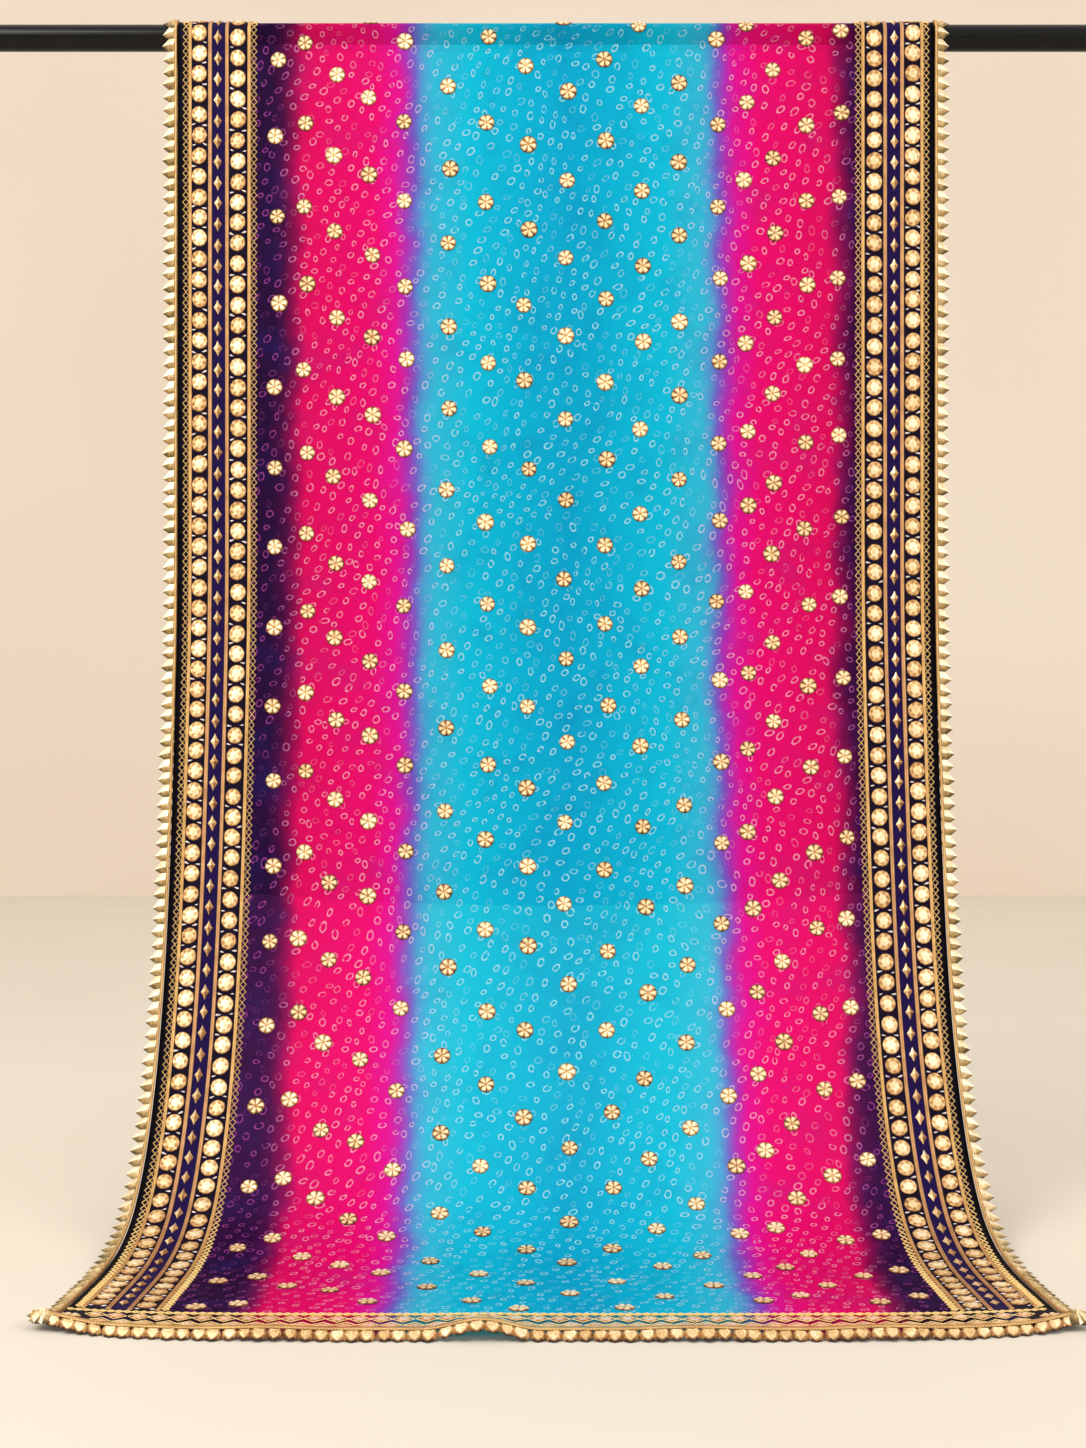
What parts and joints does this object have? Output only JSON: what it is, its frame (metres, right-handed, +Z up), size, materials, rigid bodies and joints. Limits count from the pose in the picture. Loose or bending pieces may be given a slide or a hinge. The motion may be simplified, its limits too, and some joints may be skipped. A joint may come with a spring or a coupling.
{
  "type": "gota shawl on a hanging rod",
  "caption": "Sheer tie-dyed shawl over a black rod: front sweeps onto the floor, back hangs free, with dark side tapes, gold braids, gota discs and pointed gold edging.",
  "frame": {"origin": "on the floor, at the middle of the whole part's width and depth", "axes": "+X along the rod, to the viewer's right; +Y to the back, where the short end hangs; +Z up. The front of the shawl faces -Y"},
  "size_m": [1.4, 0.5846, 1.323],
  "materials": {
    "rod": "gloss black",
    "cloth": "sheer, tie-dyed in turquoise, violet, pink and purple, with small pale rings and gold flower discs",
    "tape": "matt, night blue to black",
    "gold_braid": "metallic gold thread",
    "copper_braid": "metallic copper thread",
    "gold_lace": "metallic gold zigzag lace",
    "gold_edging": "folded metallic gold ribbon"
  },
  "bodies": {
    "root": {"rod": "rod", "cloth": "cloth", "tape_left": "tape", "lace_inner_left": "gold_lace", "lace_outer_left": "gold_lace", "braid_inner_left": "gold_braid", "braid_mid_inner_left": "gold_braid", "braid_outer_left": "gold_braid", "braid_mid_outer_left": "copper_braid", "edging_left": "gold_edging", "tape_right": "tape", "lace_inner_right": "gold_lace", "lace_outer_right": "gold_lace", "braid_inner_right": "gold_braid", "braid_mid_inner_right": "gold_braid", "braid_outer_right": "gold_braid", "braid_mid_outer_right": "copper_braid", "edging_right": "gold_edging", "end_lace": "gold_lace", "end_braid": "gold_braid", "edging_front": "gold_edging"}
  },
  "joints": []
}
